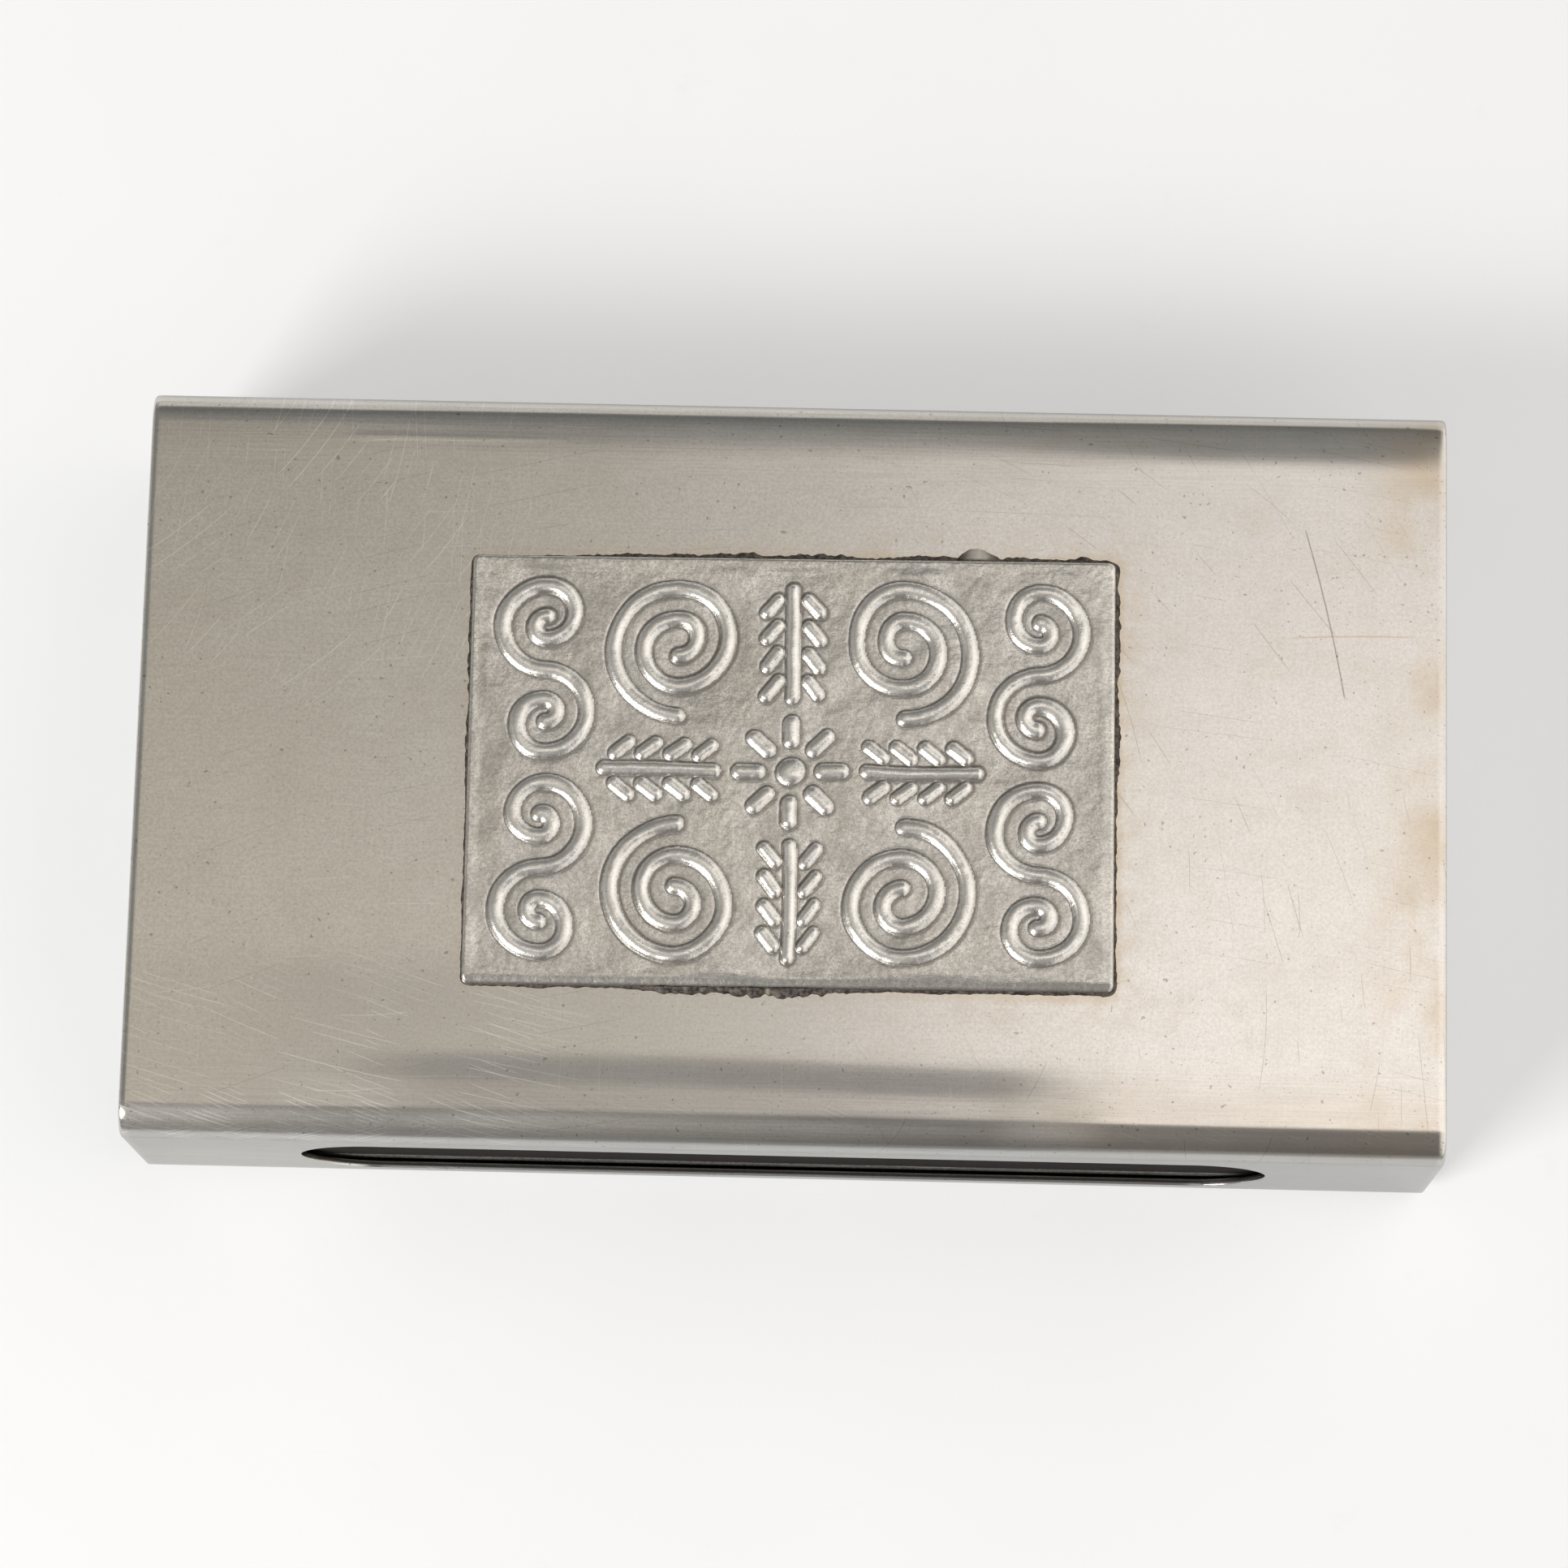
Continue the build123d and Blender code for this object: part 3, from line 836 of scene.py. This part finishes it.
def solder_material():
    material, g = new_material("oxidised_solder")
    x, y, z = g.place()
    grain = g.noise(g.vector(x * 2.6, y * 2.6, z * 2.6), detail=4.0, roughness=0.7)
    lumps = g.noise(g.vector(x * 0.9, y * 0.9, z), detail=2.0)
    colour = g.mix(g.step(grain, 0.35, 0.7), (0.035, 0.030, 0.027), (0.18, 0.155, 0.135))
    # The drop stayed brighter than the line
    side = PLAQUE_WIDTH / 2
    bright = g.bump_shape(x, DROP_X, 1.7) * g.step(y, side - 0.2, side + 0.1)
    colour = g.mix(bright * 0.9, colour, (0.62, 0.58, 0.51))
    colour = g.mix(g.step(lumps, 0.55, 0.75, 0.0, 0.35), colour, (0.30, 0.25, 0.19))
    finish_material(g, colour, 0.42 + grain * 0.25, grain, 0.03, Metallic=0.75)
    return material


solder = build_solder(solder_material())
dress(solder, "holder", "dark_solder", "plaque_solder")


# Seam solder


def seam_material():
    material, g = new_material("seam_solder_metal")
    x, y, z = g.place()
    grain = g.noise(g.vector(x * 1.2, y * 4.0, z * 4.0), detail=3.0)
    colour = g.mix(g.step(grain, 0.3, 0.7), (0.40, 0.38, 0.35), (0.56, 0.54, 0.50))
    finish_material(g, colour, 0.36 + grain * 0.15, grain, 0.02, Metallic=1.0)
    return material


dress_node("seam_solder", seam_material())


# Matchbox


def striker_material():
    """A friction strip: near-black in the middle as a painted shadow of the upper lip, and grey
    speckle beyond a sharp line, both tones darkened as painted shade.
    """
    material, g = new_material("friction_strip")
    x, y, z = g.place()
    speck = g.noise(g.vector(x * 4.0, z * 4.0, y), detail=3.0, roughness=0.7)
    streak = g.noise(g.vector(x * 0.12, z * 3.2, 2.0), detail=3.0)
    blotch = g.noise(g.vector(x * 0.16, z * 0.5, 5.0), detail=3.0)
    edge = z + (streak - 0.5) * 0.25
    worn = g.fall(edge, 5.1, 5.4) + g.step(edge, 14.6, 15.0)
    dots = g.step(speck, 0.44, 0.62)
    # Painted shade: both tones are kept very dark for the shade inside the sleeve
    shaded_dark_band = g.mix(dots * 0.5, (0.010, 0.007, 0.006), (0.026, 0.020, 0.017))
    rubbed = g.mix(dots, (0.055, 0.052, 0.047), (0.175, 0.165, 0.150))
    rubbed = g.mix(g.step(streak, 0.5, 0.66) * 0.5, rubbed, (0.27, 0.265, 0.255))
    pale = g.bump_shape(x, 36.0, 5.0) * g.step(blotch, 0.42, 0.6)
    rubbed = g.mix(pale * 0.8, rubbed, (0.30, 0.32, 0.335))
    colour = g.mix(worn, shaded_dark_band, rubbed)
    finish_material(g, colour, 0.72 + speck * 0.2, speck, 0.035, Specular_IOR_Level=0.1)
    return material


def card_colour(g, x, y, z, base, shade):
    fibre = g.noise(g.vector(x * 1.4, y * 1.4, z * 1.4), detail=5.0, roughness=0.7)
    long_fibre = g.noise(g.vector(x * 0.7, y * 4.0, z * 4.0), detail=3.0)
    return g.mix(g.step(fibre, 0.3, 0.72) * 0.6 + long_fibre * 0.2, base, shade), fibre


def cover_material():
    """Printed card: a plain cream ground with a double frame line and a lozenge."""
    material, g = new_material("printed_card")
    x, y, z = g.place()
    colour, fibre = card_colour(g, x, y, z, (0.74, 0.66, 0.50), (0.66, 0.57, 0.41))
    from_edge = g.least(BOX_LENGTH / 2 - g.size(x), BOX_WIDTH / 2 - g.size(y))
    from_middle = g.size(z - BOX_MIDDLE)
    printed = g.step(from_middle, 9.6, 9.8)

    def frame_line(place, inner, outer):
        return g.fall(g.size(from_edge - place), inner, outer)

    def lozenge(half_length, half_width, inner, outer):
        return g.fall(g.size(x) / half_length + g.size(y) / half_width, inner, outer)

    ink = frame_line(4.6, 0.78, 0.92) + frame_line(6.5, 0.16, 0.28)
    lozenges = lozenge(21.0, 11.0, 0.985, 1.0) - lozenge(21.0, 11.0, 0.86, 0.875)
    lozenges = lozenges + lozenge(15.0, 7.9, 0.985, 1.0)
    ink = g.least((ink + lozenges) * printed, 1.0)
    ink = ink * g.step(fibre, 0.2, 0.34, 0.75, 1.0)
    colour = g.mix(ink, colour, (0.30, 0.045, 0.030))
    # Cut edges and the inside show bare grey board
    outer_face = g.most(g.most(g.size(y) - 31.2, from_middle - 9.7), 0.0)
    bare = g.fall(outer_face, 0.0, 0.1)
    bare = g.most(bare, g.step(g.size(x), 54.97, 54.99))
    colour = g.mix(bare, colour, (0.44, 0.40, 0.34))
    finish_material(g, colour, 0.62 + fibre * 0.2, fibre, 0.03)
    return material


def tray_material():
    material, g = new_material("tray_card_board")
    x, y, z = g.place()
    colour, fibre = card_colour(g, x, y, z, (0.50, 0.52, 0.52), (0.40, 0.42, 0.43))
    # Painted shade: the card is darkened along the fold lines, where the crease's shade falls
    fold = g.bump_shape(g.size(x), 54.0, 0.3) * 0.4
    colour = g.mix(fold, colour, (0.30, 0.30, 0.29))
    finish_material(g, colour, 0.75 + fibre * 0.15, fibre, 0.04)
    return material


def splint_material():
    material, g = new_material("aspen_splint")
    x, y, z = g.place()
    shade = g.out(g.add("NewGeometry"), "Random Per Island")
    grain = g.noise(g.vector(x * 2.6 + shade * 40.0, y * 0.10, z * 2.6), detail=4.0, roughness=0.6)
    pore = g.noise(g.vector(x * 9.0, y * 0.5 + shade * 20.0, z * 9.0), detail=2.0)
    colour = g.mix(shade, (0.80, 0.655, 0.435), (0.70, 0.53, 0.315))
    colour = g.mix(g.step(grain, 0.42, 0.68, 0.0, 0.55), colour, (0.55, 0.39, 0.21))
    colour = g.mix(g.step(pore, 0.62, 0.75, 0.0, 0.35), colour, (0.40, 0.27, 0.14))
    finish_material(g, colour, 0.66 + grain * 0.15, grain + pore * 0.4, 0.05)
    return material


def head_material():
    material, g = new_material("match_head_compound")
    x, y, z = g.place()
    shade = g.out(g.add("NewGeometry"), "Random Per Island")
    grain = g.noise(g.vector(x * 5.0, y * 5.0, z * 5.0), detail=4.0, roughness=0.7)
    colour = g.mix(shade, (0.235, 0.040, 0.022), (0.30, 0.062, 0.034))
    colour = g.mix(g.step(grain, 0.5, 0.78, 0.0, 0.6), colour, (0.44, 0.17, 0.11))
    finish_material(g, colour, 0.60 + grain * 0.25, grain, 0.07)
    return material


strip = striker_material()
dress_node("front_striker", strip)
dress_node("rear_striker", strip)
dress_node("box_cover", cover_material())
dress_node("tray", tray_material())
dress_node("match_splints", splint_material())
dress_node("match_heads", head_material())


# Camera, fitted to the photograph's outline, bends and plaque

CAMERA_PLACE, CAMERA_TURNS = (8.918, -95.547, 475.725), (11.730, 1.158, 1.215)

camera_data = bpy.data.cameras.new("photo_camera")
camera_data.sensor_fit = "HORIZONTAL"
camera_data.sensor_width = 36.0
camera_data.lens = 124.79
camera_data.clip_start = 0.01
camera_data.clip_end = 20.0
camera = bpy.data.objects.new("photo_camera", camera_data)
bpy.context.scene.collection.objects.link(camera)
turns = [Matrix.Rotation(radians(turn), 4, axis) for turn, axis in zip(CAMERA_TURNS, "XYZ")]
turn = turns[0] @ turns[1] @ turns[2]
camera.matrix_world = Matrix.Translation(Vector(CAMERA_PLACE) * MM) @ turn
bpy.context.scene.camera = camera


# Floor

FLOOR_REACH, FLOOR_LEVEL = 1500.0, -0.01


def floor_material():
    material, g = new_material("pale_floor")
    x, y, _ = g.place()
    cloud = g.noise(g.vector(x * 0.03, y * 0.03), detail=3.0)
    mark = g.noise(g.vector(x * 0.11, y * 0.11, 3.0), detail=5.0, roughness=0.7)
    colour = g.mix(g.step(cloud, 0.3, 0.7), (0.905, 0.905, 0.905), (0.925, 0.925, 0.925))
    colour = g.mix(g.step(mark, 0.6, 0.8, 0.0, 0.5), colour, (0.84, 0.82, 0.79))
    matt = g.add("BsdfDiffuse", {"Color": colour})
    glow = g.add("Emission", {"Color": (0.955, 0.955, 0.955, 1), "Strength": 1.0})
    rays = g.add("LightPath")
    glossy = g.out(rays, "Is Glossy Ray")
    seen = g.out(rays, "Is Camera Ray") + glossy + g.out(rays, "Is Transmission Ray")
    seen = g.least(seen, 1.0)
    blend = g.add("MixShader", {0: seen * 0.36, 1: g.out(matt), 2: g.out(glow)})
    # Far in front the sheet ends, and the metal shows a darker table there
    ahead = g.step(y, -170.0, -45.0, 0.65, 0.0) * glossy
    blend = g.add("MixShader", {0: ahead, 1: g.out(blend)})
    g.add("OutputMaterial", {"Surface": g.out(blend)})
    return material


floor_signs = ((-1, -1), (1, -1), (1, 1), (-1, 1))
floor_corners = [(sx * FLOOR_REACH, sy * FLOOR_REACH, FLOOR_LEVEL) for sx, sy in floor_signs]
floor_plane = new_piece("floor", floor_corners, [(0, 1, 2, 3)], floor_material())


# Light

KEY_DIRECTION, KEY_DISTANCE, KEY_SIZE, KEY_POWER = Vector((-1.0, -0.85, 1.0)), 1.1, 0.42, 8.4

key_data = bpy.data.lights.new("key_softbox", "AREA")
key_data.shape = "SQUARE"
key_data.size, key_data.energy = KEY_SIZE, KEY_POWER
key = bpy.data.objects.new("key_softbox", key_data)
bpy.context.scene.collection.objects.link(key)
key.location = KEY_DIRECTION.normalized() * KEY_DISTANCE
key.rotation_euler = KEY_DIRECTION.to_track_quat("Z", "Y").to_euler()


def studio_world():
    """Dim walls, and a large soft light overhead that is brightest to the right."""
    world = bpy.data.worlds.new("studio")
    bpy.context.scene.world = world
    world.use_nodes = True
    g = Graph(world.node_tree)
    split = g.add("SeparateXYZ", {0: g.out(g.add("TexCoord"), "Generated")})
    x, y, z = (g.out(split, axis) for axis in range(3))
    height = g.most(z, 0.02)
    side, depth = x / height, y / height
    near_low = g.mix(g.step(x, -0.13, 0.05), (0.42, 0.41, 0.40), (0.170, 0.157, 0.155))
    near_high = g.mix(g.step(x, -0.13, 0.06), (0.60, 0.59, 0.575), (0.185, 0.176, 0.176))
    near = g.mix(g.step(z, 0.25, 0.90), near_low, near_high)
    far = g.mix(g.step(z, 0.45, 0.95), (0.165, 0.168, 0.170), (0.305, 0.303, 0.298))
    wall = g.mix(g.step(y, -0.25, 0.25), near, far)
    # Pale backdrop low behind, and soft light from both sides
    low = g.fall(z, 0.36, 0.42) * g.step(y, 0.3, 0.7)
    wall = g.mix(low * 0.92, wall, (0.78, 0.765, 0.74))
    wall = g.mix(g.step(x, 0.18, 0.50), wall, (1.12, 1.10, 1.08))
    wall = g.mix(g.fall(x, -0.45, -0.22) * 0.8, wall, (0.24, 0.24, 0.24))
    wall = g.mix(g.fall(x, -0.70, -0.52) * 0.8, wall, (0.50, 0.49, 0.48))
    # The light overhead, a little warmer at the left
    glow = g.step(side, -0.065, 0.068, 0.75, 1.54)
    fade = g.step(depth, 0.15, 0.28, 1.0, g.step(side, -0.08, 0.02, 0.62, 0.68))
    glow = glow * fade
    tint = g.mix(g.step(side, -0.125, 0.04), (1.0, 0.935, 0.825), (1.0, 0.955, 0.935))
    light = g.mix(1.0, tint, g.vector(glow, glow, glow), "MULTIPLY")
    window = g.step(depth, 0.005, 0.075) * g.fall(depth, 0.31, 0.39) * g.step(side, -0.50, -0.25)
    colour = g.mix(window, wall, light)
    shader = g.add("Background", {"Color": colour, "Strength": 1.0})
    g.add("OutputWorld", {"Surface": g.out(shader)})


studio_world()
bpy.context.scene.view_settings.view_transform = "Standard"
